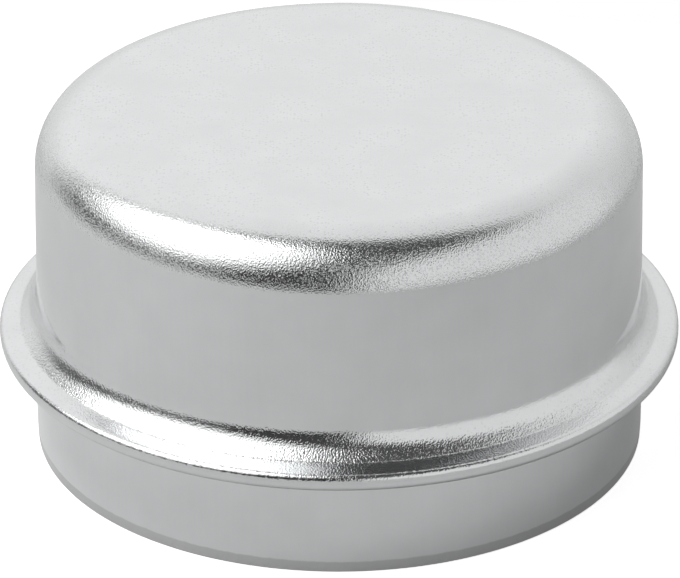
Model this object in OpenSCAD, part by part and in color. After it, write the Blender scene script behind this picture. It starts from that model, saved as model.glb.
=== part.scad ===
// Grease cap for a trailer hub, pressed from one disc of sheet steel.
// The sheet runs from the closed end round a corner and down a slightly drafted wall. It flares out
// to the upper leaf of the flange, folds back under itself as the lower leaf, which is the seat on
// the hub, and turns down as the skirt that is driven into the hub. The cut edge leans in as a lead.
// +Z points out of the closed end. The origin is the centre of the circle that the cut edge stands on.

/* [Overall] */
// Height from the cut edge to the closed end
cap_h = 37; // [30:0.1:60]

/* [Sheet] */
// Thickness of the sheet
sheet_t = 0.8; // [0.6:0.05:1.2]
// Radius that rounds both corners of the cut edge
edge_r = 0.05; // [0.05:0.05:0.25]

/* [Cup] */
// Outside diameter of the drafted wall, measured level with the seat
wall_d = 64.5; // [60:0.1:66]
// Draft of the wall, in degrees, which narrows it towards the closed end
wall_draft = 0.9; // [0.2:0.1:3]
// Outside radius of the corner round the closed end
corner_r = 5.7; // [3:0.1:10]

/* [Flange] */
// Outside diameter of the flange
flange_d = 72.3; // [71:0.1:80]
// Outside radius of the bend from the wall into the flare
flare_r = 3.3; // [2:0.05:5]
// Fall of the flare towards the flange, in degrees
flare_slope = 43; // [35:1:55]
// Diameter where the flare meets the flange's upper leaf
flare_foot_d = 68; // [67.5:0.1:69]
// Outside radius of the bend from the flare into the upper leaf
flare_foot_r = 0.6; // [0.3:0.05:1]
// Fall of the flange's upper leaf towards its rim, in degrees
leaf_slope = 13; // [5:1:25]
// Gap between the two leaves where the fold closes it
fold_gap = 0.5; // [0.2:0.05:0.6]
// Outside radius of the fold above its rim
fold_crown_r = 0.7; // [0.4:0.05:1]
// Outside radius of the fold below its rim
fold_foot_r = 1.1; // [0.6:0.05:1.2]

/* [Seat and skirt] */
// Height of the seat above the cut edge
seat_h = 11.2; // [8:0.1:15]
// Outside radius of the bend from the seat into the skirt
seat_bend_r = 0.5; // [0.3:0.05:1]
// Outside diameter of the skirt, which is the press fit in the hub
fit_d = 64.8; // [60:0.1:66]
// Height of the lead at the cut edge
lead_h = 1.25; // [0.8:0.05:2]
// Lean of the lead inwards, in degrees
lead_angle = 3; // [3:1:15]
// Outside radius of the bend from the skirt into the lead
lead_bend_r = 2; // [1.5:0.1:3]

/* [Hidden] */

// Steps round the axis and round each bend when the shape is drawn as a mesh
turn_steps = 120;
bend_steps = 36;
// Share of the gap's height that each bend inside the fold takes
fold_round = 0.45;
// Share of a side that the bends at its two ends may take up
bend_room = 0.95;
// An arc stands this much proud of its sides, so that it crosses them and leaves no step
arc_proud = 0.0003;
// How far the scrap of a corner reaches past the sides
scrap_past = 0.05;

// A straight stretch of the sheet's outside is a line in the plane of radius and height. It is held
// as [direction its outside faces, in degrees above the horizontal, distance from the origin].
function line_through(facing, point) = [facing, point.x * cos(facing) + point.y * sin(facing)];

// The inside of the same stretch lies one sheet thickness behind it.
function inside(line) = [line[0], line[1] - sheet_t];

// Point where two lines cross
function crossing(a, b) =
    let (turn = sin(b[0] - a[0]))
    [(a[1] * sin(b[0]) - b[1] * sin(a[0])) / turn, (b[1] * cos(a[0]) - a[1] * cos(b[0])) / turn];

// A corner of the section is [radius, height, bend radius].
function corner(a, b, bend_r) = concat(crossing(a, b), [bend_r]);

// Stretches of the outside, from the cut edge to the closed end
cut_edge = line_through(-90, [0, 0]);
lead = line_through(-lead_angle, [fit_d / 2, lead_h]);
skirt = line_through(0, [fit_d / 2, 0]);
seat = line_through(-90, [0, seat_h]);
rim = line_through(0, [flange_d / 2, 0]);
wall = line_through(wall_draft, [wall_d / 2, seat_h]);
closed_end = line_through(90, [0, cap_h]);

// The upper leaf rises from the closed end of the gap between the leaves.
gap_top = [flange_d / 2 - sheet_t, seat_h + sheet_t + fold_gap];
leaf_inside = line_through(90 - leaf_slope, gap_top);
leaf = [leaf_inside[0], leaf_inside[1] + sheet_t];
fold_inner_r = fold_gap * fold_round;

// The flare rises from its foot on the upper leaf to the wall.
flare_foot = crossing(leaf, line_through(0, [flare_foot_d / 2, 0]));
flare = line_through(90 - flare_slope, flare_foot);

// The section runs anticlockwise: up the outside, across the closed end, and down the inside.
section_corners = [
    corner(cut_edge, lead, edge_r),
    corner(lead, skirt, lead_bend_r),
    corner(skirt, seat, seat_bend_r),
    corner(seat, rim, fold_foot_r),
    corner(rim, leaf, fold_crown_r),
    corner(leaf, flare, flare_foot_r),
    corner(flare, wall, flare_r),
    corner(wall, closed_end, corner_r),
    [0, cap_h, 0],
    [0, cap_h - sheet_t, 0],
    corner(inside(closed_end), inside(wall), corner_r - sheet_t),
    corner(inside(wall), inside(flare), flare_r + sheet_t),
    corner(inside(flare), leaf_inside, flare_foot_r + sheet_t),
    corner(leaf_inside, inside(rim), fold_inner_r),
    corner(inside(rim), inside(seat), fold_inner_r),
    corner(inside(seat), inside(skirt), seat_bend_r + sheet_t),
    corner(inside(skirt), inside(lead), lead_bend_r - sheet_t),
    corner(inside(lead), cut_edge, edge_r)
];

function place(c) = [c[0], c[1]];
function toward(from, to) = (to - from) / norm(to - from);
function after(corners, i) = (i + 1) % len(corners);
function before(corners, i) = (i + len(corners) - 1) % len(corners);

// Directions from a corner along its two sides
function side_back(corners, i) = toward(place(corners[i]), place(corners[before(corners, i)]));
function side_on(corners, i) = toward(place(corners[i]), place(corners[after(corners, i)]));

// Half of the angle between the two sides at a corner
function half_angle(corners, i) = acos(side_back(corners, i) * side_on(corners, i)) / 2;

// Distance from a corner to the ends of its bend, at the bend's full radius
function full_reach(corners, i) = corners[i][2] / tan(half_angle(corners, i));

// Share of the full radius that the side after a corner has room for
function room_after(corners, i) =
    let (
        side = norm(place(corners[after(corners, i)]) - place(corners[i])) * bend_room,
        taken = full_reach(corners, i) + full_reach(corners, after(corners, i))
    )
    taken > side ? side / taken : 1;

// Radius of a bend, smaller than its full radius only where a side beside it is too short
function bend_radius(corners, i) =
    corners[i][2] * min(room_after(corners, i), room_after(corners, before(corners, i)));

function bend_centre(corners, i) =
    let (middle = side_back(corners, i) + side_on(corners, i))
    place(corners[i]) + middle / norm(middle) * bend_radius(corners, i) / sin(half_angle(corners, i));

// True where the outline, which runs anticlockwise, turns left
function is_convex(corners, i) = cross(side_back(corners, i), side_on(corners, i)) < 0;

// What lies between a sharp corner and its bend. It is a kite from the bend's centre to past the
// corner, less the disc of the bend, and it reaches a little past both sides of the corner.
module corner_scrap(corners, i) {
    centre = bend_centre(corners, i);
    radius = bend_radius(corners, i);
    reach = radius / tan(half_angle(corners, i));
    ends = [
        place(corners[i]) + side_back(corners, i) * reach,
        place(corners[i]) + side_on(corners, i) * reach
    ];
    kite = [
        centre,
        is_convex(corners, i) ? ends[0] : ends[1],
        place(corners[i]),
        is_convex(corners, i) ? ends[1] : ends[0]
    ];
    difference() {
        polygon([for (p = kite) centre + (p - centre) * (1 + scrap_past / radius)]);
        translate(centre)
            circle(r = radius + arc_proud, $fn = bend_steps);
    }
}

// A straight-sided outline whose corners are then bent to true arcs
module bent_outline(corners) {
    bends = [for (i = [0 : len(corners) - 1]) if (corners[i][2] > 0) i];
    difference() {
        union() {
            polygon([for (c = corners) place(c)]);
            for (i = bends)
                if (!is_convex(corners, i))
                    corner_scrap(corners, i);
        }
        for (i = bends)
            if (is_convex(corners, i))
                corner_scrap(corners, i);
    }
}

module hub_cap() {
    color("silver")
        rotate_extrude($fn = turn_steps)
            bent_outline(section_corners);
}

hub_cap();
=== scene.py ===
# %% [markdown]
# # A pressed steel grease cap for a trailer hub
# This lesson builds one part: the round cap that closes the outer end of a trailer hub and keeps
# the grease in. It is a single pressing of zinc-plated sheet steel. A flat closed end turns over
# a large corner into a wall, the wall flares out into a flange, the flange is folded back under
# itself, and a plain skirt goes down into the hub.
#
# The part was drawn as an exact solid first. That solid is loaded here as a fixed frame, and
# everything made below lies on it.

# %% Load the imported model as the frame
import bpy
import math
from mathutils import Matrix


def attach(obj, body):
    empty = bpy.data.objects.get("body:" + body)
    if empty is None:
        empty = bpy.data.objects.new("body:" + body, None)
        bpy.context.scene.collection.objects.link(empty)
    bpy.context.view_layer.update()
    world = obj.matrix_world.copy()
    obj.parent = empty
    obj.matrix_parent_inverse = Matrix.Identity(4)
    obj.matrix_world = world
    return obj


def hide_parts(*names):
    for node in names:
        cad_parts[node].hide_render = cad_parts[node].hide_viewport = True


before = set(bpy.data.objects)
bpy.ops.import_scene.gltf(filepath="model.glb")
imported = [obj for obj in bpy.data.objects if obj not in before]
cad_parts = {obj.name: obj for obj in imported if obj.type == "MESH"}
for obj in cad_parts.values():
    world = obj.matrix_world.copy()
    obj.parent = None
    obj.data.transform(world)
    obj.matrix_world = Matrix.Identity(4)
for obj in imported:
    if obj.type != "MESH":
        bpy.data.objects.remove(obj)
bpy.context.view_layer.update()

# %% [markdown]
# ## The camera
# The cap is seen from the front and a little above, by a long lens that stands close to
# parallel. The height of the camera, its distance and its focal length were found by matching
# the ellipses of the closed end, the flange and the skirt, so they aren't round numbers. The
# camera looks at a point on the axis, and is turned about its own line of sight by a hair.

# %% Camera
MM = 0.001
SENSOR_WIDTH = 36.0

camera_distance = 577.7 * MM
camera_elevation = math.radians(27.165)
camera_roll = math.radians(-0.071)
aim_x = 0.099 * MM
aim_z = 15.974 * MM
focal_length = 287.47
near_clip, far_clip = 0.01, 20.0


def place_camera():
    """Make the camera, and point it at the aim."""
    data = bpy.data.cameras.new("studio_camera")
    data.lens = focal_length
    data.sensor_width = SENSOR_WIDTH
    data.clip_start = near_clip
    data.clip_end = far_clip
    camera = bpy.data.objects.new("studio_camera", data)
    bpy.context.scene.collection.objects.link(camera)
    stand = (
        aim_x,
        -camera_distance * math.cos(camera_elevation),
        aim_z + camera_distance * math.sin(camera_elevation),
    )
    tilt = Matrix.Rotation(math.pi / 2 - camera_elevation, 4, "X")
    roll = Matrix.Rotation(camera_roll, 4, "Z")
    camera.matrix_world = Matrix.Translation(stand) @ tilt @ roll
    bpy.context.scene.camera = camera
    return camera


camera = place_camera()
bpy.context.scene.view_settings.view_transform = "Standard"
print("camera at", [round(v, 4) for v in camera.matrix_world.translation])

# %% [markdown]
# ## Helpers for node trees
# Every tree below is written as a short list of nodes and links. Two helpers keep that readable.
# One adds a node and sets its plain values, and the other feeds an input from a socket or with a
# number. The rest stand for small steps that come back often, such as a sum, a soft mask or a mix
# of two tones.

# %% Node helpers
noise_middle = 0.5


def add_node(tree, kind, values=None, **settings):
    """Add a node, set its properties, then the values of its unlinked sockets."""
    node = tree.nodes.new(kind)
    for name, value in settings.items():
        setattr(node, name, value)
    for socket, value in (values or {}).items():
        node.inputs[socket].default_value = value
    return node


def join(tree, source, target):
    """Link an output socket to an input, or give the input a number."""
    if isinstance(source, (int, float)):
        target.default_value = source
    else:
        tree.links.new(source, target)


def math_node(tree, operation, first, second=None, clamp=False):
    """Add a Math node whose two inputs are sockets or numbers, and give back its output."""
    node = add_node(tree, "ShaderNodeMath", operation=operation, use_clamp=clamp)
    join(tree, first, node.inputs[0])
    if second is not None:
        join(tree, second, node.inputs[1])
    return node.outputs[0]


def ramp_between(tree, value, low, high):
    """A smooth mask that is 0 below low and 1 above high."""
    node = add_node(
        tree,
        "ShaderNodeMapRange",
        {"From Min": low, "From Max": high},
        interpolation_type="SMOOTHSTEP",
    )
    join(tree, value, node.inputs["Value"])
    return node.outputs["Result"]


def soft_step(tree, value, degrees):
    """A smooth mask that rises from 0 to 1 between two angles."""
    return ramp_between(tree, value, *(math.radians(v) for v in degrees))


def blend_tones(tree, mask, first, second):
    """Mix two tones, which are numbers or sockets, by a mask."""
    node = add_node(tree, "ShaderNodeMix", data_type="FLOAT")
    join(tree, mask, node.inputs["Factor"])
    join(tree, first, node.inputs["A"])
    join(tree, second, node.inputs["B"])
    return node.outputs["Result"]


def new_material(name):
    """An empty material with its output node."""
    material = bpy.data.materials.new(name)
    material.use_nodes = True
    material.node_tree.nodes.clear()
    output = add_node(material.node_tree, "ShaderNodeOutputMaterial")
    return material, material.node_tree, output


print("node helpers ready")

# %% [markdown]
# ## The studio
# Bright metal has almost no colour of its own: what is seen in it is the room. So the room
# is built with care. On the real set a large soft light stood high on the left, a white card
# stood on the right, pale paper hung behind, and the space round the camera was dark. The
# corner of the cap shows all four, side by side.
#
# The paper, the dark curtain and the dim ceiling are painted on one large dome, by direction from
# the cap. The card, the lamp and its hood stand inside it. All of them are hidden from the camera,
# so every view has the same white ground, which is the world.

# %% World
WHITE = (1.0, 1.0, 1.0, 1.0)
ambient_level = 0.45


def seen_level(tree):
    """1 for the camera, for mirrors and for glass, and the ambient level for all other light."""
    ray = add_node(tree, "ShaderNodeLightPath")
    seen = math_node(tree, "ADD", ray.outputs["Is Camera Ray"], ray.outputs["Is Glossy Ray"])
    seen = math_node(tree, "ADD", seen, ray.outputs["Is Transmission Ray"], clamp=True)
    more = math_node(tree, "MULTIPLY", seen, 1.0 - ambient_level)
    return math_node(tree, "ADD", more, ambient_level)


def make_world():
    """White for the camera, for reflections and for glass, and a plain level for the rest."""
    world = bpy.data.worlds.new("pale_paper")
    world.use_nodes = True
    tree = world.node_tree
    tree.nodes.clear()
    white = add_node(tree, "ShaderNodeBackground", {"Color": WHITE})
    join(tree, seen_level(tree), white.inputs["Strength"])
    output = add_node(tree, "ShaderNodeOutputWorld")
    join(tree, white.outputs[0], output.inputs["Surface"])
    bpy.context.scene.world = world
    return world


make_world()
print("world: white ground, ambient level", ambient_level)

# %% Directions on the set


def toward(azimuth, elevation):
    """Unit direction from the cap. Azimuth 0 is to the right, -90 towards the camera."""
    a, e = math.radians(azimuth), math.radians(elevation)
    return (math.cos(e) * math.cos(a), math.cos(e) * math.sin(a), math.sin(e))


def hide_from_camera(obj):
    """Keep a lamp or card in reflections and in the light, and out of the camera's view."""
    obj.visible_camera = False
    return obj


def mesh_object(name, points, faces, material=None):
    """A mesh object at the origin, with its place in its mesh."""
    mesh = bpy.data.meshes.new(name)
    mesh.from_pydata(points, [], faces)
    mesh.update()
    obj = bpy.data.objects.new(name, mesh)
    bpy.context.scene.collection.objects.link(obj)
    if material:
        mesh.materials.append(material)
    return obj


def glowing(name, tone):
    """A card's material: an even tone, as a reflection shows it."""
    material, tree, output = new_material(name)
    glow = add_node(tree, "ShaderNodeEmission", {"Color": (tone, tone, tone, 1.0)})
    join(tree, seen_level(tree), glow.inputs["Strength"])
    join(tree, glow.outputs[0], output.inputs["Surface"])
    return material


print("towards the camera:", [round(v, 3) for v in toward(-90, 27)])

# %% The room's paper, curtain and ceiling
room_radius = 4.0
room_bottom = -30.0
room_step = 6.0
curtain_middle = -97.0
curtain_left_edge = (-125.0, -111.0)
curtain_right_edge = (85.0, 125.0)
curtain_left_tone, curtain_low_tone, curtain_high_tone = 0.15, 0.06, 0.09
curtain_left_part = (-60.0, -25.0)
curtain_rise = (15.0, 60.0)
paper_right_tone, paper_left_tone = 0.79, 1.02
paper_bright_side = 150.0
paper_change = (-0.45, 0.75)
paper_horizon_share = 0.80
horizon_rise = (-4.0, 24.0)
ceiling_tone = 0.30
ceiling_rise = (82.0, 90.0)


def room_directions(tree):
    """How far a point lies across from the curtain's middle, up, and on the paper's bright side."""
    place = add_node(tree, "ShaderNodeTexCoord").outputs["Object"]
    turn = add_node(
        tree, "ShaderNodeVectorRotate", {"Angle": -math.radians(curtain_middle)},
        rotation_type="Z_AXIS",
    )
    join(tree, place, turn.inputs["Vector"])
    split = add_node(tree, "ShaderNodeSeparateXYZ")
    join(tree, turn.outputs[0], split.inputs[0])
    across = math_node(tree, "ARCTAN2", split.outputs["Y"], split.outputs["X"])
    up = math_node(tree, "ARCSINE", math_node(tree, "DIVIDE", split.outputs["Z"], room_radius))
    facing = add_node(
        tree, "ShaderNodeVectorMath", {1: [v / room_radius for v in toward(paper_bright_side, 0)]},
        operation="DOT_PRODUCT",
    )
    join(tree, place, facing.inputs[0])
    return across, up, facing.outputs["Value"]


def room_material():
    """Tones of the room by direction."""
    material, tree, output = new_material("room")
    across, up, facing = room_directions(tree)
    inner = blend_tones(tree, soft_step(tree, up, curtain_rise), curtain_low_tone, curtain_high_tone)
    cloth = blend_tones(tree, soft_step(tree, across, curtain_left_part), curtain_left_tone, inner)
    share = ramp_between(tree, facing, *paper_change)
    paper = blend_tones(tree, share, paper_right_tone, paper_left_tone)
    horizon = blend_tones(tree, soft_step(tree, up, horizon_rise), paper_horizon_share, 1.0)
    paper = math_node(tree, "MULTIPLY", paper, horizon)
    from_left = soft_step(tree, across, curtain_left_edge)
    past_right = soft_step(tree, across, curtain_right_edge)
    hung = math_node(tree, "SUBTRACT", from_left, past_right, clamp=True)
    wall_tone = blend_tones(tree, hung, paper, cloth)
    tone = blend_tones(tree, soft_step(tree, up, ceiling_rise), wall_tone, ceiling_tone)
    glow = add_node(tree, "ShaderNodeEmission", {"Color": WHITE})
    join(tree, math_node(tree, "MULTIPLY", tone, seen_level(tree)), glow.inputs["Strength"])
    join(tree, glow.outputs[0], output.inputs["Surface"])
    return material


def make_room():
    """A round room about the cap, open below, whose faces look inwards."""
    columns = round(360 / room_step)
    rows = round((90 - room_bottom) / room_step)
    points = [[room_radius * v for v in toward(i * room_step, room_bottom + j * room_step)]
              for j in range(rows) for i in range(columns)]
    points.append((0.0, 0.0, room_radius))
    faces = []
    for j in range(rows - 1):
        for i in range(columns):
            a, b = j * columns + i, j * columns + (i + 1) % columns
            faces.append((b, a, a + columns, b + columns))
    last = (rows - 1) * columns
    faces += [(last + (i + 1) % columns, last + i, len(points) - 1) for i in range(columns)]
    return mesh_object("room", points, faces, room_material())


room = make_room()
hide_from_camera(room)
print("room faces:", len(room.data.polygons))

# %% White card on the right
card_distance = 1.6
card_azimuth = -20.0
card_top = 1.215
card_to_camera = 2.08
card_to_back = 1.1
card_below = 0.45
card_tone = 0.86


def upright_card(name, distance, azimuth, side_a, side_b, low, high, material):
    """A flat upright card. Its sides and top are given as shares of its distance."""
    nx, ny, _ = toward(azimuth, 0)
    tx, ty = -ny, nx
    points = []
    for along, up in ((-side_a, -low), (side_b, -low), (side_b, high), (-side_a, high)):
        points.append((
            distance * (nx + tx * along),
            distance * (ny + ty * along),
            distance * up,
        ))
    return mesh_object(name, points, [(0, 1, 2, 3)], material)


card = upright_card(
    "white_card", card_distance, card_azimuth, card_to_camera, card_to_back, card_below, card_top,
    glowing("card_board", card_tone),
)
hide_from_camera(card)
print("card stands", card_distance, "m away")

# %% Soft light on the left, and its dark hood
softbox_distance = 0.55
softbox_azimuth = -138.7
softbox_tilt = 16.6
softbox_roll = -22.5
softbox_aside, softbox_above = -0.83, 0.71
softbox_half_width, softbox_half_height = 1.12, 0.93
softbox_squareness = 2.6
softbox_points = 48
softbox_level = 2.6
softbox_edge_level = 0.85
softbox_fade = (0.45, 1.00)
hood_lift, hood_depth, hood_tone = 0.15, 1.05, 0.06


def softbox_material():
    """White cloth before a lamp. It is brightest in the middle and fades towards its edge."""
    material, tree, output = new_material("softbox_cloth")
    place = add_node(tree, "ShaderNodeTexCoord")
    split = add_node(tree, "ShaderNodeSeparateXYZ")
    join(tree, place.outputs["Object"], split.inputs[0])
    powers = []
    for axis in "XY":
        side = math_node(tree, "ABSOLUTE", split.outputs[axis])
        powers.append(math_node(tree, "POWER", side, softbox_squareness))
    total = math_node(tree, "ADD", powers[0], powers[1])
    out = math_node(tree, "POWER", total, 1.0 / softbox_squareness)
    fading = ramp_between(tree, out, *softbox_fade)
    glow = add_node(tree, "ShaderNodeEmission", {"Color": WHITE})
    join(tree, blend_tones(tree, fading, softbox_level, softbox_edge_level), glow.inputs["Strength"])
    join(tree, glow.outputs[0], output.inputs["Surface"])
    return material


def rounded_square(count, squareness):
    """Points round a square with soft corners that reaches from -1 to 1."""
    points = []
    for i in range(count):
        turn = 2 * math.pi * i / count
        x, y = (math.copysign(abs(v) ** (2 / squareness), v) for v in (math.cos(turn), math.sin(turn)))
        points.append((x, y, 0.0))
    return points


def hang_cloth(name, lift, depth, material):
    """A cloth of the lamp's shape. All its places and sizes are shares of the lamp's distance."""
    points = rounded_square(softbox_points, softbox_squareness)
    cloth = mesh_object(name, points, [tuple(range(len(points)))], material)
    cloth.matrix_world = (
        Matrix.Rotation(math.radians(softbox_azimuth + 90), 4, "Z")
        @ Matrix.Rotation(math.pi / 2 - math.radians(softbox_tilt), 4, "X")
        @ Matrix.Rotation(math.radians(softbox_roll), 4, "Z")
        @ Matrix.Scale(softbox_distance, 4)
        @ Matrix.Scale(depth, 4)
        @ Matrix.Translation((softbox_aside, softbox_above + lift, 1.0))
        @ Matrix.Diagonal((softbox_half_width, softbox_half_height, 1.0, 1.0))
    )
    return hide_from_camera(cloth)


softbox = hang_cloth("softbox", 0.0, 1.0, softbox_material())
hood = hang_cloth("softbox_hood", hood_lift, hood_depth, glowing("hood_cloth", hood_tone))
print("softbox", [round(2 * v, 2) for v in softbox.matrix_world.to_scale()[:2]], "m")

# %% [markdown]
# ## The table
# The wall and the skirt lean so little that all they show is the table just in front of them.
# So the table is a real, lit surface, darker in the cap's own shade. Its colour also holds painted
# light: it is painted paler on the left, at both sides and close to the cap. It stands a hair below
# the cut edge, because two surfaces in one plane flicker. The camera sees it as nearly white paper
# that keeps a faint shadow. From below it is clear, so that the open side of the cap can be looked at.

# %% Table
table_outline = [
    (-1.00, -0.53), (-0.04, -0.18), (0.20, -0.17), (0.22, 0.08),
    (0.06, 0.10), (-0.06, 0.12), (-0.40, 0.33), (-1.00, 0.40),
]
table_drop = 0.02 * MM
# Painted light in the paper's colour: paler on the left, at both sides and close to the cap.
table_left_tone, table_right_tone = 0.79, 0.69
table_side_painted_light = 0.06
table_near_painted_light = 0.06
table_near = (0.050, 0.065)
table_change = (-0.10, 0.10)
camera_white = 0.80
mirror_white = 0.08


def table_colour_with_painted_light(tree):
    """Painted light in the paper's colour: paler on the left, at both sides and close to the cap."""
    place = add_node(tree, "ShaderNodeTexCoord").outputs["Object"]
    split = add_node(tree, "ShaderNodeSeparateXYZ")
    join(tree, place, split.inputs[0])
    across = ramp_between(tree, split.outputs["X"], *table_change)
    tone = blend_tones(tree, across, table_left_tone, table_right_tone)
    reach = add_node(tree, "ShaderNodeVectorMath", operation="LENGTH")
    join(tree, place, reach.inputs[0])
    aside = math_node(tree, "DIVIDE", split.outputs["X"], reach.outputs["Value"])
    sides = math_node(tree, "MULTIPLY", aside, aside)
    gain = math_node(tree, "ADD", math_node(tree, "MULTIPLY", sides, table_side_painted_light), 1.0)
    far = ramp_between(tree, reach.outputs["Value"], *table_near)
    gain = math_node(tree, "ADD", gain, blend_tones(tree, far, table_near_painted_light, 0.0))
    return math_node(tree, "MULTIPLY", tone, gain)


def table_lift(tree):
    """Extra light that only the camera, mirrors and glass see."""
    ray = add_node(tree, "ShaderNodeLightPath")
    to_camera = math_node(tree, "MULTIPLY", ray.outputs["Is Camera Ray"], camera_white)
    to_mirror = math_node(tree, "MULTIPLY", ray.outputs["Is Glossy Ray"], mirror_white)
    to_glass = math_node(tree, "MULTIPLY", ray.outputs["Is Transmission Ray"], camera_white)
    lifted = math_node(tree, "ADD", to_camera, to_mirror)
    return math_node(tree, "ADD", lifted, to_glass, clamp=True)


def table_material():
    """Pale lit paper, lifted to white where the camera looks at it, and clear from below."""
    material, tree, output = new_material("table_paper")
    paper = add_node(tree, "ShaderNodeBsdfDiffuse")
    join(tree, table_colour_with_painted_light(tree), paper.inputs["Color"])
    glow = add_node(tree, "ShaderNodeEmission", {"Color": WHITE})
    join(tree, table_lift(tree), glow.inputs["Strength"])
    both = add_node(tree, "ShaderNodeAddShader")
    join(tree, paper.outputs[0], both.inputs[0])
    join(tree, glow.outputs[0], both.inputs[1])
    side = add_node(tree, "ShaderNodeNewGeometry")
    clear = add_node(tree, "ShaderNodeBsdfTransparent")
    mix = add_node(tree, "ShaderNodeMixShader")
    join(tree, side.outputs["Backfacing"], mix.inputs[0])
    join(tree, both.outputs[0], mix.inputs[1])
    join(tree, clear.outputs[0], mix.inputs[2])
    join(tree, mix.outputs[0], output.inputs["Surface"])
    return material


table = mesh_object(
    "table",
    [(x, y, -table_drop) for x, y in table_outline],
    [tuple(range(len(table_outline)))],
    table_material(),
)
print("table faces up:", table.data.polygons[0].normal.z > 0)

# %% [markdown]
# ## The section of the sheet
# The cap is round, so one cut through the sheet says all about its shape. The cut is drawn with
# sharp corners first. A straight stretch of the outside is a line, kept as the direction that it
# faces and its distance from the origin. The inside of a stretch lies one sheet thickness
# behind it. Two neighbouring lines cross at a corner, and each corner has the radius of its bend.

# %% Sizes in millimetres
cap_height = 37.0
sheet_thickness = 0.8
cut_edge_radius = 0.05
wall_diameter = 64.5
wall_draft = 0.9
corner_radius = 5.7
flange_diameter = 72.3
flare_radius = 3.3
flare_slope = 43.0
flare_foot_diameter = 68.0
flare_foot_radius = 0.6
leaf_slope = 13.0
fold_gap = 0.5
fold_crown_radius = 0.7
fold_foot_radius = 1.1
seat_height = 11.2
seat_bend_radius = 0.5
skirt_diameter = 64.8
lead_height = 1.25
lead_angle = 3.0
lead_bend_radius = 2.0
fold_round = 0.45

print("flange", flange_diameter, "mm across, sheet", sheet_thickness, "mm thick")

# %% Lines of the section


def line_through(facing, radius, height):
    """A line that faces a direction, in degrees above the horizontal, through a point."""
    a = math.radians(facing)
    return facing, radius * math.cos(a) + height * math.sin(a)


def behind(line):
    """The inside of a stretch of sheet."""
    return line[0], line[1] - sheet_thickness


def crossing(first, second):
    """The point, as radius and height, where two lines cross."""
    a, b = math.radians(first[0]), math.radians(second[0])
    turn = math.sin(b - a)
    radius = (first[1] * math.sin(b) - second[1] * math.sin(a)) / turn
    height = (second[1] * math.cos(a) - first[1] * math.cos(b)) / turn
    return radius, height


cut_edge = line_through(-90, 0, 0)
lead = line_through(-lead_angle, skirt_diameter / 2, lead_height)
skirt = line_through(0, skirt_diameter / 2, 0)
seat = line_through(-90, 0, seat_height)
rim = line_through(0, flange_diameter / 2, 0)
wall = line_through(wall_draft, wall_diameter / 2, seat_height)
closed_end = line_through(90, 0, cap_height)
leaf_inside = line_through(
    90 - leaf_slope,
    flange_diameter / 2 - sheet_thickness,
    seat_height + sheet_thickness + fold_gap,
)
leaf = (leaf_inside[0], leaf_inside[1] + sheet_thickness)
flare_foot = crossing(leaf, line_through(0, flare_foot_diameter / 2, 0))
flare = line_through(90 - flare_slope, *flare_foot)
print("flange's upper leaf meets its rim at", [round(v, 2) for v in crossing(rim, leaf)])

# %% Corners and their bends
fold_inside_radius = fold_gap * fold_round
much, some, little, none = 0.72, 0.5, 0.25, 0.0

corner_table = [
    (cut_edge, lead, cut_edge_radius, none),
    (lead, skirt, lead_bend_radius, none),
    (skirt, seat, seat_bend_radius, little),
    (seat, rim, fold_foot_radius, little),
    (rim, leaf, fold_crown_radius, some),
    (leaf, flare, flare_foot_radius, much),
    (flare, wall, flare_radius, some),
    (wall, closed_end, corner_radius, much),
    None,
    (behind(closed_end), behind(wall), corner_radius - sheet_thickness, much),
    (behind(wall), behind(flare), flare_radius + sheet_thickness, some),
    (behind(flare), leaf_inside, flare_foot_radius + sheet_thickness, some),
    (leaf_inside, behind(rim), fold_inside_radius, some),
    (behind(rim), behind(seat), fold_inside_radius, some),
    (behind(seat), behind(skirt), seat_bend_radius + sheet_thickness, some),
    (behind(skirt), behind(lead), lead_bend_radius - sheet_thickness, none),
    (behind(lead), cut_edge, cut_edge_radius, none),
]


def sharp_section():
    """All corners as (radius, height, bend, stretch, inside). Two of them lie on the axis."""
    corners, inside = [], 0.0
    for entry in corner_table:
        if entry is None:
            corners.append((0.0, cap_height, 0.0, none, inside))
            inside = 1.0
            corners.append((0.0, cap_height - sheet_thickness, 0.0, none, inside))
            continue
        first, second, bend, stretch = entry
        corners.append((*crossing(first, second), bend, stretch, inside))
    return corners


section = sharp_section()
print(len(section), "corners, the outermost at radius", max(c[0] for c in section))

# %% [markdown]
# A bend takes up some of the straight part on each side of it. Where that part is too short
# for the bends at its two ends, both get smaller by the same share. Each straight part that
# is left gets a few more points close to its ends. They keep the shading of the flat parts
# flat, because a smooth surface spreads the turn of a bend over the next face.
#
# A wide bend needs more steps than a narrow one to look round. So the steps of each bend follow
# from how far a step may stray from the true arc.

# %% Room for the bends, and points that hold the flats
bend_room = 0.95
hold_distance = 0.22
hold_share = 0.3
long_stretch = 2.0
short_side = 3.0
arc_stray = 0.004
least_steps = 5


def half_angle(before, here, after):
    """Half of the angle between the two sides at a corner."""
    ax, ay = before[0] - here[0], before[1] - here[1]
    bx, by = after[0] - here[0], after[1] - here[1]
    cosine = (ax * bx + ay * by) / (math.hypot(ax, ay) * math.hypot(bx, by))
    return math.acos(max(-1.0, min(1.0, cosine))) / 2


def fitted_bends(corners):
    """Each corner's bend radius, after short stretches have had their say, and its reach."""
    count = len(corners)
    tangent = [math.tan(half_angle(corners[i - 1], corners[i], corners[(i + 1) % count]))
               for i in range(count)]
    reach = [corners[i][2] / tangent[i] for i in range(count)]
    share = []
    for i in range(count):
        here, after = corners[i], corners[(i + 1) % count]
        side = math.dist(here[:2], after[:2]) * bend_room
        taken = reach[i] + reach[(i + 1) % count]
        share.append(side / taken if taken > side else 1.0)
    limit = [min(share[i], share[i - 1]) for i in range(count)]
    return [(corners[i][2] * limit[i], reach[i] * limit[i]) for i in range(count)]


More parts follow.
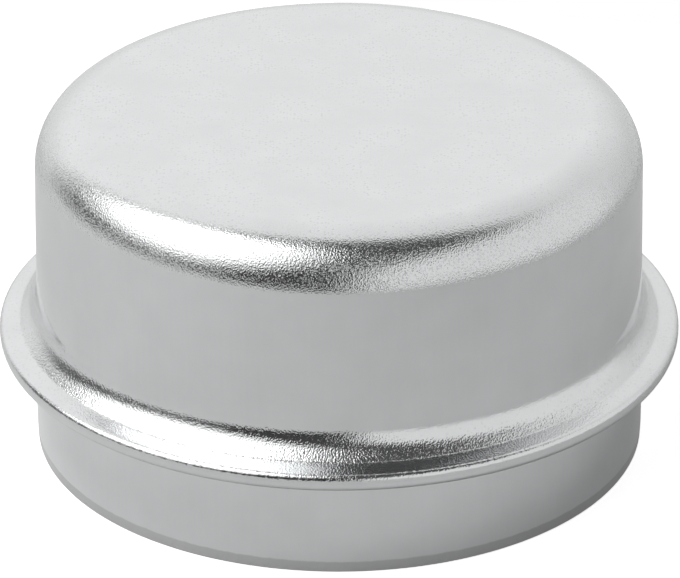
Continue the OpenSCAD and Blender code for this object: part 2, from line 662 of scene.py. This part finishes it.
def steps_in(bend, turn):
    """How many steps keep a bend within the stray of its true arc."""
    if bend <= arc_stray:
        return least_steps
    return max(least_steps, math.ceil(turn / (2 * math.acos(1 - arc_stray / bend))))


def held_section(corners):
    """All corners with points between them: (radius, height, bend, steps, stretch, inside)."""
    bends = fitted_bends(corners)
    count = len(corners)
    points = []
    for i in range(count):
        here, after = corners[i], corners[(i + 1) % count]
        turn = math.pi - 2 * half_angle(corners[i - 1], here, after)
        points.append((here[0], here[1], bends[i][0], steps_in(bends[i][0], turn), *here[3:]))
        side = math.dist(here[:2], after[:2])
        between = here[3] if side < short_side else none  # long sides keep their smooth skin
        start, end = bends[i][1], side - bends[(i + 1) % count][1]
        free = end - start
        near = min(hold_distance, free * hold_share)
        stops = [start + near]
        middle = int((free - 2 * near) // long_stretch)
        stops += [start + near + (free - 2 * near) * k / (middle + 1) for k in range(1, middle + 1)]
        stops.append(end - near)
        for stop in stops:
            t = stop / side
            points.append((
                here[0] + (after[0] - here[0]) * t,
                here[1] + (after[1] - here[1]) * t,
                0.0, least_steps, between, here[4],
            ))
    return points


section_points = held_section(section)
print(len(section_points), "points; bends in mm and their steps:",
      [(round(point[2], 3), point[3]) for point in section_points if point[2] > 0])

# %% [markdown]
# ## Turning the section
# A turned shape follows a rule, so it is made by Geometry Nodes. The tree takes the section as a
# closed line whose points carry the radius of their bend. It rounds the corners, and lets the
# stretch of the wide bends fade towards their ends. Then it sweeps the line round a circle, closes
# the pole, and gives the sheet the slight unevenness that a press leaves, which makes reflections
# in real sheet swim a little. The circle has a radius of its own, so the section is drawn that much
# closer to the axis.

# %% Steps of the tree
sweep_radius = 10.0 * MM
wide_bend = 2.5 * MM
fade_steps = 4
merge_distance = 1.0e-7


def named(tree, name, kind="FLOAT"):
    """An attribute of the section's points."""
    node = add_node(tree, "GeometryNodeInputNamedAttribute", {"Name": name}, data_type=kind)
    return node.outputs[0]


def bend_the_corners(tree, section_mesh):
    """The section as a closed curve whose corners are bent."""
    curve = add_node(tree, "GeometryNodeMeshToCurve")
    join(tree, section_mesh, curve.inputs[0])
    fillet = add_node(tree, "GeometryNodeFilletCurve")
    fillet.mode = "POLY"
    join(tree, curve.outputs[0], fillet.inputs["Curve"])
    join(tree, named(tree, "steps", "INT"), fillet.inputs["Count"])
    join(tree, named(tree, "bend"), fillet.inputs["Radius"])
    return fillet.outputs[0]


def fade_the_stretch(tree, curve):
    """In each wide bend, the stretch falls to nothing towards a straight part without any."""
    stretch = named(tree, "stretch")
    wide = math_node(tree, "GREATER_THAN", named(tree, "bend"), wide_bend)
    spread = add_node(
        tree, "GeometryNodeBlurAttribute", {"Iterations": fade_steps}, data_type="FLOAT",
    )
    join(tree, stretch, spread.inputs["Value"])
    join(tree, wide, spread.inputs["Weight"])
    fall = math_node(tree, "SUBTRACT", spread.outputs[0], stretch)
    faded = math_node(tree, "ADD", spread.outputs[0], fall, clamp=True)
    keep = add_node(
        tree, "GeometryNodeStoreNamedAttribute", {"Name": "stretch"},
        data_type="FLOAT", domain="POINT",
    )
    join(tree, curve, keep.inputs["Geometry"])
    join(tree, faded, keep.inputs["Value"])
    return keep.outputs[0]


def sweep_round(tree, curve, steps_round):
    """The curve swept round the axis, with its faces outwards and its pole closed."""
    circle = add_node(tree, "GeometryNodeCurvePrimitiveCircle", {"Radius": sweep_radius})
    join(tree, steps_round, circle.inputs["Resolution"])
    upright = add_node(tree, "GeometryNodeSetCurveNormal", mode="Z_UP")
    join(tree, circle.outputs[0], upright.inputs[0])
    sweep = add_node(tree, "GeometryNodeCurveToMesh")
    join(tree, upright.outputs[0], sweep.inputs["Curve"])
    join(tree, curve, sweep.inputs["Profile Curve"])
    outside = add_node(tree, "GeometryNodeFlipFaces")
    join(tree, sweep.outputs[0], outside.inputs["Mesh"])
    merge = add_node(tree, "GeometryNodeMergeByDistance", {"Distance": merge_distance})
    join(tree, outside.outputs[0], merge.inputs["Geometry"])
    return merge.outputs[0]


def make_uneven(tree, sheet, depth, length, seed):
    """The sheet with slow, shallow waves."""
    noise = add_node(tree, "ShaderNodeTexNoise", {"Detail": 1.0}, noise_dimensions="4D")
    join(tree, add_node(tree, "GeometryNodeInputPosition").outputs[0], noise.inputs["Vector"])
    join(tree, seed, noise.inputs["W"])
    join(tree, math_node(tree, "DIVIDE", 1.0, length), noise.inputs["Scale"])
    centred = math_node(tree, "SUBTRACT", noise.outputs[0], noise_middle)
    shift = add_node(tree, "ShaderNodeVectorMath", operation="SCALE")
    join(tree, add_node(tree, "GeometryNodeInputNormal").outputs[0], shift.inputs[0])
    join(tree, math_node(tree, "MULTIPLY", centred, depth), shift.inputs["Scale"])
    move = add_node(tree, "GeometryNodeSetPosition")
    join(tree, sheet, move.inputs["Geometry"])
    join(tree, shift.outputs[0], move.inputs["Offset"])
    return move.outputs[0]


print("a bend is wide from", round(wide_bend / MM, 1), "mm")

# %% The tree
tree_inputs = [
    ("Section", "NodeSocketGeometry"), ("Steps round the axis", "NodeSocketInt"),
    ("Unevenness", "NodeSocketFloat"), ("Length of unevenness", "NodeSocketFloat"),
    ("Seed", "NodeSocketFloat"), ("Finish", "NodeSocketMaterial"),
]


def build_turning_tree():
    """Geometry Nodes: a line of corners in, a turned and rounded sheet out."""
    tree = bpy.data.node_groups.new("turned_sheet", "GeometryNodeTree")
    sockets = {}
    for title, kind in tree_inputs:
        socket = tree.interface.new_socket(title, in_out="INPUT", socket_type=kind)
        sockets[title] = socket.identifier
    tree.interface.new_socket("Sheet", in_out="OUTPUT", socket_type="NodeSocketGeometry")
    given = add_node(tree, "NodeGroupInput").outputs
    curve = fade_the_stretch(tree, bend_the_corners(tree, given["Section"]))
    sheet = sweep_round(tree, curve, given["Steps round the axis"])
    sheet = make_uneven(
        tree, sheet, given["Unevenness"], given["Length of unevenness"], given["Seed"],
    )
    smooth = add_node(tree, "GeometryNodeSetShadeSmooth")
    join(tree, sheet, smooth.inputs[0])
    real = add_node(tree, "GeometryNodeRealizeInstances")
    join(tree, smooth.outputs[0], real.inputs[0])
    coat = add_node(tree, "GeometryNodeSetMaterial")
    join(tree, real.outputs[0], coat.inputs["Geometry"])
    join(tree, given["Finish"], coat.inputs["Material"])
    join(tree, coat.outputs[0], add_node(tree, "NodeGroupOutput").inputs[0])
    return tree, sockets


turning_tree, turning_inputs = build_turning_tree()
print("turning tree:", len(turning_tree.nodes), "nodes")

# %% [markdown]
# ## The finish
# Bright zinc on pressed steel is a mirror that has been breathed on. Up close it has a fine even
# grain, as of skin. Steel pulled round a corner roughens, so the grain is far deeper there, and it
# makes the edges between bright and dark reflections sparkle. Its hollows are frosted, so the dark
# parts show a pale speckle too. Close to the closed end, which was hardly pulled, it is calmer.
#
# The plating has tiny pits, its sheen changes a little from place to place, and the press leaves
# fine lines along the wall. Use has left nicks on the rim. A band under the flange's fold and a band
# along the lead are painted shade, for the shaded table that the metal reflects there.
#
# Each of these is a node group with named inputs and one or two outputs. A painted picture could
# show them too, but a group stays sharp at any distance. All of them read the cap's own
# coordinates or its stretch, so they stay with it wherever it is turned.

# %% Tools for node groups
FLOAT, VECTOR = "NodeSocketFloat", "NodeSocketVector"


def new_group(name, inputs, outputs):
    """A shader node group. Inputs are (name, kind, value); outputs are (name, kind)."""
    group = bpy.data.node_groups.new(name, "ShaderNodeTree")
    for title, kind, value in inputs:
        socket = group.interface.new_socket(title, in_out="INPUT", socket_type=kind)
        if value is not None:
            socket.default_value = value
    for title, kind in outputs:
        group.interface.new_socket(title, in_out="OUTPUT", socket_type=kind)
    return group, add_node(group, "NodeGroupInput"), add_node(group, "NodeGroupOutput")


def noise_in(tree, vector, scale, detail):
    """Noise on a vector, about 0. The scale is a number or a socket."""
    node = add_node(tree, "ShaderNodeTexNoise", {"Detail": detail})
    join(tree, vector, node.inputs["Vector"])
    join(tree, scale, node.inputs["Scale"])
    return math_node(tree, "SUBTRACT", node.outputs[0], noise_middle)


def radius_and_height(tree, vector):
    """Distance from the axis, height, and direction round the axis of a place."""
    split = add_node(tree, "ShaderNodeSeparateXYZ")
    join(tree, vector, split.inputs[0])
    x, y, z = (split.outputs[axis] for axis in "XYZ")
    squares = math_node(tree, "ADD", math_node(tree, "MULTIPLY", x, x),
                        math_node(tree, "MULTIPLY", y, y))
    return math_node(tree, "SQRT", squares), z, math_node(tree, "ARCTAN2", y, x)


print("tools for groups ready")

# %% Node group: grain of the sheet
frosted_hollows = (-0.14, 0.03)


def make_grain():
    """Grain that is deeper where the sheet was stretched, with frosted hollows. In metres."""
    group, given, result = new_group(
        "sheet_grain",
        [("Place", VECTOR, None), ("Stretch", FLOAT, 0.0), ("Frosted", FLOAT, 0.0),
         ("Grain size", FLOAT, 0.2 * MM), ("Flat depth", FLOAT, 0.002 * MM),
         ("Stretched depth", FLOAT, 0.05 * MM)],
        [("Height", FLOAT), ("Frost", FLOAT)],
    )
    scale = math_node(group, "DIVIDE", 1.0, given.outputs["Grain size"])
    fine = noise_in(group, given.outputs["Place"], scale, detail=1.0)
    depth = blend_tones(
        group, given.outputs["Stretch"], given.outputs["Flat depth"],
        given.outputs["Stretched depth"],
    )
    join(group, math_node(group, "MULTIPLY", fine, depth), result.inputs["Height"])
    hollow = math_node(group, "SUBTRACT", 1.0, ramp_between(group, fine, *frosted_hollows))
    frost = math_node(group, "MULTIPLY", hollow, given.outputs["Frosted"])
    join(group, frost, result.inputs["Frost"])
    return group


grain_group = make_grain()
print("grain group:", [s.name for s in grain_group.interface.items_tree])

# %% Node group: pits and nicks
pit_floor = 0.2


def make_pits():
    """Round pits, one in some cells of a grid. The mask is 1 in a pit, and the height is negative."""
    group, given, result = new_group(
        "scattered_pits",
        [("Place", VECTOR, None), ("Spacing", FLOAT, 0.5 * MM), ("Share", FLOAT, 0.5),
         ("Width", FLOAT, 0.3), ("Depth", FLOAT, 0.004 * MM), ("Where", FLOAT, 1.0)],
        [("Height", FLOAT), ("Mask", FLOAT)],
    )
    cells = add_node(group, "ShaderNodeTexVoronoi", feature="F1")
    join(group, given.outputs["Place"], cells.inputs["Vector"])
    join(group, math_node(group, "DIVIDE", 1.0, given.outputs["Spacing"]), cells.inputs["Scale"])
    chance = add_node(group, "ShaderNodeSeparateColor")
    join(group, cells.outputs["Color"], chance.inputs[0])
    picked = math_node(group, "LESS_THAN", chance.outputs[0], given.outputs["Share"])
    near = math_node(group, "DIVIDE", cells.outputs["Distance"], given.outputs["Width"])
    bowl = math_node(group, "SUBTRACT", 1.0, ramp_between(group, near, pit_floor, 1.0))
    mask = math_node(group, "MULTIPLY", math_node(group, "MULTIPLY", bowl, picked),
                     given.outputs["Where"])
    join(group, mask, result.inputs["Mask"])
    depth = math_node(group, "MULTIPLY", given.outputs["Depth"], -1.0)
    join(group, math_node(group, "MULTIPLY", mask, depth), result.inputs["Height"])
    return group


pits_group = make_pits()
print("pits group:", [s.name for s in pits_group.interface.items_tree])

# %% Node group: uneven sheen


def make_mottle():
    """Slow changes in the sheen, and fine lines that run up the wall. Both are about 0."""
    group, given, result = new_group(
        "uneven_sheen",
        [("Place", VECTOR, None), ("Patch size", FLOAT, 5.0 * MM),
         ("Line width", FLOAT, 0.4 * MM), ("Line length", FLOAT, 12.0 * MM)],
        [("Patches", FLOAT), ("Lines", FLOAT)],
    )
    patch_scale = math_node(group, "DIVIDE", 1.0, given.outputs["Patch size"])
    patches = noise_in(group, given.outputs["Place"], patch_scale, detail=3.0)
    join(group, patches, result.inputs["Patches"])
    radius, height, turn = radius_and_height(group, given.outputs["Place"])
    round_the_axis = math_node(group, "MULTIPLY", radius, turn)
    across = math_node(group, "DIVIDE", round_the_axis, given.outputs["Line width"])
    along = math_node(group, "DIVIDE", height, given.outputs["Line length"])
    spread = add_node(group, "ShaderNodeCombineXYZ")
    join(group, across, spread.inputs["X"])
    join(group, along, spread.inputs["Y"])
    lines = noise_in(group, spread.outputs[0], 1.0, detail=2.0)
    join(group, lines, result.inputs["Lines"])
    return group


mottle_group = make_mottle()
print("sheen group:", [s.name for s in mottle_group.interface.items_tree])

# %% Node group: a band round the cap


def make_band():
    """A mask that is 1 between two heights and outside a radius, with a ragged edge."""
    group, given, result = new_group(
        "height_band",
        [("Place", VECTOR, None), ("Low", FLOAT, 0.0), ("High", FLOAT, 1.0 * MM),
         ("Soft edge", FLOAT, 0.2 * MM), ("Least radius", FLOAT, 0.0),
         ("Ragged", FLOAT, 0.2 * MM), ("Patch size", FLOAT, 2.0 * MM)],
        [("Mask", FLOAT)],
    )
    radius, height, _ = radius_and_height(group, given.outputs["Place"])
    patch_scale = math_node(group, "DIVIDE", 1.0, given.outputs["Patch size"])
    patches = noise_in(group, given.outputs["Place"], patch_scale, detail=3.0)
    stray = math_node(group, "MULTIPLY", patches, given.outputs["Ragged"])
    height = math_node(group, "ADD", height, stray)
    above = math_node(group, "DIVIDE", math_node(group, "SUBTRACT", height, given.outputs["Low"]),
                      given.outputs["Soft edge"], clamp=True)
    below = math_node(group, "DIVIDE", math_node(group, "SUBTRACT", given.outputs["High"], height),
                      given.outputs["Soft edge"], clamp=True)
    outside = math_node(group, "GREATER_THAN", radius, given.outputs["Least radius"])
    mask = math_node(group, "MULTIPLY", math_node(group, "MULTIPLY", above, below), outside)
    join(group, mask, result.inputs["Mask"])
    return group


band_group = make_band()
print("band group:", [s.name for s in band_group.interface.items_tree])

# %% [markdown]
# ### The zinc-plated steel
# The material puts the groups together. Each band says at which heights a mark is found. Colour
# starts from the zinc and is darkened by pits, nicks and the duller inside, and by painted shade under
# the flange's fold and along the lead. Roughness starts from that of clean plating, and frost, wear
# and the painted shade bands add to it. All heights are added, and one Bump node turns the sum into a
# normal.

# %% Values of the plating
zinc_colour = (0.73, 0.74, 0.745)
# A dark tone, mixed in for nicks, the duller inside, and the painted shade under the fold and along
# the lead.
shade_and_wear_colour = (0.30, 0.295, 0.29, 1.0)
zinc_roughness = 0.085
grain = {
    "Grain size": 0.185 * MM, "Flat depth": 0.0015 * MM, "Stretched depth": 0.064 * MM,
}
plating_pits = {
    "Spacing": 0.36 * MM, "Share": 0.40, "Width": 0.5, "Depth": 0.010 * MM,
}
rim_nicks = {
    "Spacing": 2.6 * MM, "Share": 0.16, "Width": 0.13, "Depth": 0.05 * MM,
}
sheen = {
    "Patch size": 5.0 * MM, "Line width": 0.4 * MM, "Line length": 12.0 * MM,
}
rim_band = {
    "Low": 12.3 * MM, "High": 13.5 * MM, "Soft edge": 0.1 * MM, "Least radius": 34.4 * MM,
    "Ragged": 0.0,
}
corner_band = {
    "Low": 28.0 * MM, "High": 39.0 * MM, "Soft edge": 1.0 * MM, "Ragged": 0.0,
}
end_band = {
    "Low": 35.0 * MM, "High": 39.0 * MM, "Soft edge": 1.3 * MM, "Ragged": 0.0,
}
# Painted shade: a darker band under the flange's fold, for the shaded table reflected there.
painted_fold_shade_band = {
    "Low": 10.4 * MM, "High": 11.95 * MM, "Soft edge": 0.35 * MM, "Least radius": 32.0 * MM,
    "Ragged": 0.25 * MM, "Patch size": 1.5 * MM,
}
# Painted shade: a darker band along the lead, for the contact shade reflected at the cut edge.
painted_edge_shade_band = {
    "Low": -1.0 * MM, "High": 1.3 * MM, "Soft edge": 0.18 * MM, "Least radius": 31.8 * MM,
    "Ragged": 0.25 * MM, "Patch size": 1.0 * MM,
}
calm_share, low_frost = 0.55, 0.15
handled_patches = (-0.18, 0.10)
patch_tone, line_tone, pit_tone = 0.12, 0.03, 0.12
# How much the painted shade under the fold, the painted shade along the lead and the duller inside
# darken the colour and add roughness.
painted_fold_shade_strength, painted_edge_shade_strength, inside_strength = 0.45, 0.40, 0.15
patch_roughness, shade_and_wear_roughness, stretched_roughness = 0.06, 0.22, -0.03
frost_roughness = 0.48
print("grain", round(grain["Grain size"] / MM, 3), "mm wide")

# %% Marks on the steel


def put_group(tree, group, values, links):
    """Place a group with its own values and links, and give back its outputs."""
    node = add_node(tree, "ShaderNodeGroup", node_tree=group)
    for title, value in values.items():
        node.inputs[title].default_value = value
    for title, source in links.items():
        join(tree, source, node.inputs[title])
    return node.outputs


def point_value(tree, name):
    """A value that the cap's points carry."""
    return add_node(tree, "ShaderNodeAttribute", attribute_name=name).outputs["Fac"]


def steel_marks(tree):
    """Outputs of all the groups, each where its mark is found, and the stretch."""
    here = {"Place": add_node(tree, "ShaderNodeTexCoord").outputs["Object"]}
    end = put_group(tree, band_group, end_band, here)["Mask"]
    corner = put_group(tree, band_group, corner_band, here)["Mask"]
    rim = put_group(tree, band_group, rim_band, here)["Mask"]
    calm = blend_tones(tree, end, 1.0, calm_share)
    stretch = math_node(tree, "MULTIPLY", point_value(tree, "stretch"), calm)
    frosted = math_node(tree, "MULTIPLY", stretch, blend_tones(tree, corner, low_frost, 1.0))
    mottle = put_group(tree, mottle_group, sheen, here)
    patches = ramp_between(tree, mottle["Patches"], *handled_patches)
    pitted = math_node(tree, "MAXIMUM", stretch, math_node(tree, "MULTIPLY", end, patches))
    return {
        "stretch": stretch,
        "mottle": mottle,
        "skin": put_group(
            tree, grain_group, grain, here | {"Stretch": stretch, "Frosted": frosted},
        ),
        "pits": put_group(tree, pits_group, plating_pits, here | {"Where": pitted}),
        "nicks": put_group(tree, pits_group, rim_nicks, here | {"Where": rim}),
        # Two bands of painted shade: under the flange's fold, and along the lead.
        "painted_fold_shade": put_group(tree, band_group, painted_fold_shade_band, here)["Mask"],
        "painted_edge_shade": put_group(tree, band_group, painted_edge_shade_band, here)["Mask"],
    }


def add_up(tree, start, shares):
    """A start and some (mask, strength) pairs, each mask times its strength, added in turn."""
    total = start
    for mask, strength in shares:
        total = math_node(tree, "ADD", total, math_node(tree, "MULTIPLY", mask, strength))
    return total


print("marks on the steel: sheen, grain, pits, nicks, soil and painted_edge_shades")

# %% Zinc-plated steel


def shade_and_wear_of(tree, marks):
    """Where the colour is darkened: painted shade under the fold and along the lead, nicks, and the
    duller inside.
    """
    painted_fold_shade_part = math_node(tree, "MULTIPLY", marks["painted_fold_shade"], painted_fold_shade_strength)
    shade_and_wear = add_up(tree, painted_fold_shade_part, [
        (marks["painted_edge_shade"], painted_edge_shade_strength), (point_value(tree, "inside"), inside_strength),
    ])
    return math_node(tree, "MAXIMUM", shade_and_wear, marks["nicks"]["Mask"])


def colour_of(tree, marks, shade_and_wear):
    """The zinc's colour, uneven and darker in the pits, with painted shade and wear mixed over it."""
    tone = add_up(tree, 1.0, [
        (marks["mottle"]["Patches"], patch_tone), (marks["mottle"]["Lines"], line_tone),
        (marks["pits"]["Mask"], -pit_tone),
    ])
    zinc = add_node(tree, "ShaderNodeVectorMath", {0: zinc_colour}, operation="SCALE")
    join(tree, tone, zinc.inputs["Scale"])
    colour = add_node(tree, "ShaderNodeMix", {"B": shade_and_wear_colour}, data_type="RGBA")
    join(tree, shade_and_wear, colour.inputs["Factor"])
    join(tree, zinc.outputs[0], colour.inputs["A"])
    return colour.outputs["Result"]


def zinc_material():
    """The cap's finish."""
    material, tree, output = new_material("bright_zinc")
    shader = add_node(tree, "ShaderNodeBsdfPrincipled", {"Metallic": 1.0})
    marks = steel_marks(tree)
    shade_and_wear = shade_and_wear_of(tree, marks)
    join(tree, colour_of(tree, marks, shade_and_wear), shader.inputs["Base Color"])
    rough = add_up(tree, zinc_roughness, [
        (marks["mottle"]["Patches"], patch_roughness), (shade_and_wear, shade_and_wear_roughness),
        (marks["stretch"], stretched_roughness), (marks["skin"]["Frost"], frost_roughness),
    ])
    join(tree, rough, shader.inputs["Roughness"])
    height = math_node(tree, "ADD", marks["skin"]["Height"], marks["pits"]["Height"])
    height = math_node(tree, "ADD", height, marks["nicks"]["Height"])
    bump = add_node(tree, "ShaderNodeBump", {"Strength": 1.0, "Distance": 1.0})
    join(tree, height, bump.inputs["Height"])
    join(tree, bump.outputs[0], shader.inputs["Normal"])
    join(tree, shader.outputs[0], output.inputs["Surface"])
    return material


zinc = zinc_material()
print("material:", zinc.name, "with", len(zinc.node_tree.nodes), "nodes")

# %% Turn the cap
steps_round = 320
unevenness = 0.012 * MM
unevenness_length = 12.0 * MM
unevenness_seed = 4.0


def section_line(points):
    """The section as a closed line of points, with the values that each point carries."""
    mesh = bpy.data.meshes.new("section")
    places = [(point[0] * MM - sweep_radius, -point[1] * MM, 0.0) for point in points]
    edges = [(i, (i + 1) % len(points)) for i in range(len(points))]
    mesh.from_pydata(places, edges, [])
    carried = [
        ("bend", "FLOAT", [point[2] * MM for point in points]),
        ("steps", "INT", [point[3] for point in points]),
        ("stretch", "FLOAT", [point[4] for point in points]),
        ("inside", "FLOAT", [point[5] for point in points]),
    ]
    for title, kind, values in carried:
        mesh.attributes.new(title, kind, "POINT").data.foreach_set("value", values)
    obj = bpy.data.objects.new("section", mesh)
    bpy.context.scene.collection.objects.link(obj)
    return obj


def turned_piece(name, line, values):
    """Run the tree on the section, and keep the result as a plain mesh."""
    turning = line.modifiers.new("turning", "NODES")
    turning.node_group = turning_tree
    for title, value in values.items():
        turning[turning_inputs[title]] = value
    graph = bpy.context.evaluated_depsgraph_get()
    mesh = bpy.data.meshes.new_from_object(line.evaluated_get(graph))
    mesh.name = name
    line.modifiers.remove(turning)
    bpy.data.objects.remove(line)
    obj = bpy.data.objects.new(name, mesh)
    bpy.context.scene.collection.objects.link(obj)
    return obj


cap = turned_piece("pressed_cap", section_line(section_points), {
    "Steps round the axis": steps_round,
    "Unevenness": unevenness,
    "Length of unevenness": unevenness_length,
    "Seed": unevenness_seed,
    "Finish": zinc,
})


def signed_volume(mesh):
    """Volume inside the faces, as pyramids. It is positive when they all point outwards."""
    total = 0.0
    for face in mesh.polygons:
        corners = [mesh.vertices[i].co for i in face.vertices]
        for a, b in zip(corners[1:], corners[2:]):
            total += corners[0].dot(a.cross(b)) / 6
    return total


print(len(cap.data.vertices), "points,", len(cap.data.polygons), "faces,",
      "volume in mm3:", round(signed_volume(cap.data) / MM ** 3, 1))

# %% Put the cap on its body
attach(cap, "root")
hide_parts("hub_cap")
print("slots:", [m.name for m in cap.data.materials])
